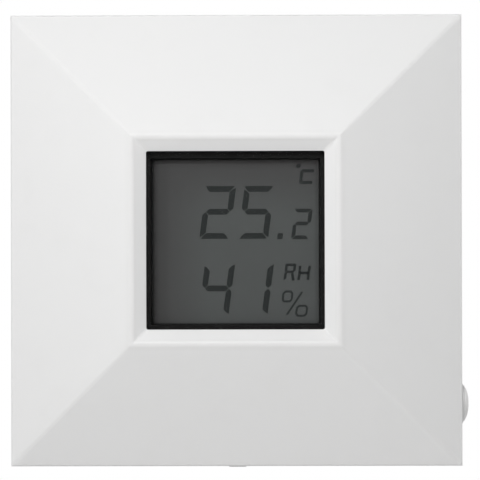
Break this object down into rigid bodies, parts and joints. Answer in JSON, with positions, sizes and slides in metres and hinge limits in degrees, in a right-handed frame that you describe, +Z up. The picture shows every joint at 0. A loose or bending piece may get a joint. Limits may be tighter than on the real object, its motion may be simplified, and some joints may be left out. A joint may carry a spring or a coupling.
{
  "type": "room temperature and humidity sensor",
  "caption": "Square wall-mounted room climate sensor: faceted white cover with a central segment display, side button, hinged front unit and slotted wall plate.",
  "frame": {"origin": "middle of the cover's square outline, on the wall face of the wall plate", "axes": "+X to the viewer's right, +Y into the wall, +Z up; the display faces -Y"},
  "size_m": [0.0815, 0.025, 0.0808],
  "materials": {
    "cover_white": "satin, finely textured moulded plastic",
    "plate_white": "satin moulded plastic",
    "latch_white": "satin moulded plastic",
    "button_white": "smooth satin moulded plastic",
    "clear_lens": "clear polished acrylic",
    "mask_black": "fine matt black",
    "film_grey": "grey polarising film",
    "display_glass": "polished display glass",
    "reflector_foil": "satin foil",
    "holder_black": "matt moulded plastic",
    "strip_rubber": "matt striped rubber",
    "board_green": "solder mask over glass fibre",
    "screw_steel": "zinc-plated steel",
    "contact_steel": "nickel-plated spring steel",
    "switch_black": "matt moulded plastic",
    "plunger_grey": "matt moulded plastic",
    "cell_sleeve": "printed sleeve over steel",
    "radio_board_blue": "solder mask over glass fibre",
    "shield_steel": "tin-plated steel",
    "antenna_copper": "tinned copper wire",
    "chip_black": "matt moulded resin",
    "crystal_steel": "polished steel can",
    "can_aluminium": "satin aluminium can",
    "sensor_black": "matt moulded resin",
    "small_parts_brown": "ceramic chips"
  },
  "bodies": {
    "wall_plate": {"wall_plate": "plate_white"},
    "front_unit": {"front_cover": "cover_white", "display_lens": "clear_lens", "display_mask": "mask_black", "lcd_front_film": "film_grey", "lcd_front_glass": "display_glass", "lcd_rear_glass": "display_glass", "lcd_reflector": "reflector_foil", "lcd_frame": "holder_black", "contact_strips": "strip_rubber", "main_board": "board_green", "board_screws": "screw_steel", "tact_switch": "switch_black", "battery_holder": "holder_black", "upper_cell": "cell_sleeve", "lower_cell": "cell_sleeve", "bridge_contact": "contact_steel", "positive_contact": "contact_steel", "negative_contact": "contact_steel", "contact_springs": "contact_steel", "radio_board": "radio_board_blue", "radio_shield": "shield_steel", "antenna_wire": "antenna_copper", "microcontroller": "chip_black", "display_driver": "chip_black", "crystal": "crystal_steel", "buffer_capacitor": "can_aluminium", "climate_sensor": "sensor_black", "small_parts": "small_parts_brown"},
    "latch": {"release_latch": "latch_white"},
    "button": {"function_button": "button_white", "switch_plunger": "plunger_grey"}
  },
  "joints": [
    {"name": "cover_swing", "type": "hinge", "parent": "wall_plate", "child": "front_unit", "pos_m": [0, -0.0037, 0.0362], "axis": [-1, 0, 0], "range_deg": [0, 25], "deforming": ["release_latch"]},
    {"name": "button_press", "type": "slide", "parent": "front_unit", "child": "button", "axis": [-1, 0, 0], "range_m": [0, 0.0005], "stiffness_N_per_m": 400},
    {"name": "latch_press", "type": "slide", "parent": "wall_plate", "child": "latch", "axis": [0, 0, 1], "range_m": [0, 0.0009], "stiffness_N_per_m": 300, "deforming": ["release_latch"]}
  ]
}
